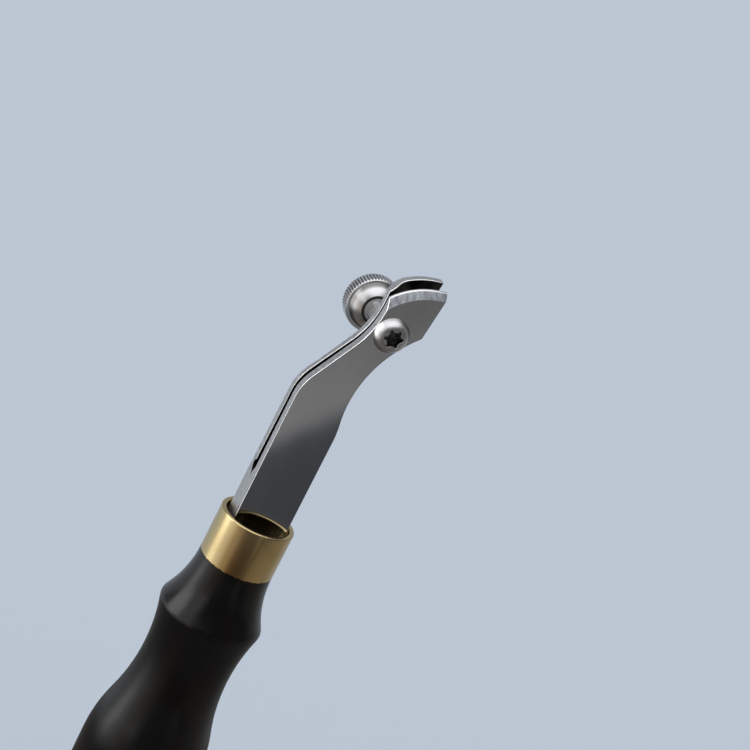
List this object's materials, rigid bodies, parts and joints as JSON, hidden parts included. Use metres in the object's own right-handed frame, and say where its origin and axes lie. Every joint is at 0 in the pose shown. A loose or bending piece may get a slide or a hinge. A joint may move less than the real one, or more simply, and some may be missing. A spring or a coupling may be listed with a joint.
{
  "type": "leather line scriber",
  "caption": "Adjustable screw creaser for leather: slit steel head with a spring tine and a beak, clamped by a screw and knurled thumb nut, in a ferruled turned handle.",
  "frame": {"origin": "centre of the handle's flat butt", "axes": "+Z along the handle to the beak, +X the way the beak leans, -Y out of the front face with the screw head"},
  "size_m": [0.0254, 0.0297, 0.1562],
  "materials": {
    "ebony": "satin, near black",
    "brass": "polished, lightly turned",
    "steel": "ground and half polished",
    "bright_steel": "bright turned"
  },
  "bodies": {
    "tool": {"handle": "ebony", "ferrule": "brass", "blade": "steel"},
    "tine": {"spring_tine": "steel"},
    "screw": {"screw": "bright_steel"},
    "nut": {"thumb_nut": "bright_steel"}
  },
  "joints": [
    {"name": "tine_flex", "type": "hinge", "parent": "tool", "child": "tine", "pos_m": [0, 0.00178, 0.111], "axis": [1, 0, 0], "range_deg": [0, 0.7], "stiffness_Nm_per_rad": 20},
    {"name": "screw_turn", "type": "hinge", "parent": "tool", "child": "screw", "pos_m": [0.0061, 0, 0.1447], "axis": [0, 1, 0], "range_deg": [-1081, 3601]},
    {"name": "nut_travel", "type": "slide", "parent": "tool", "child": "nut", "axis": [0, 1, 0], "range_m": [-0.007, 0.0021]}
  ],
  "couplings": [
    {"joint": "screw_turn", "follows": "nut_travel", "rad_per_m": -8976}
  ]
}
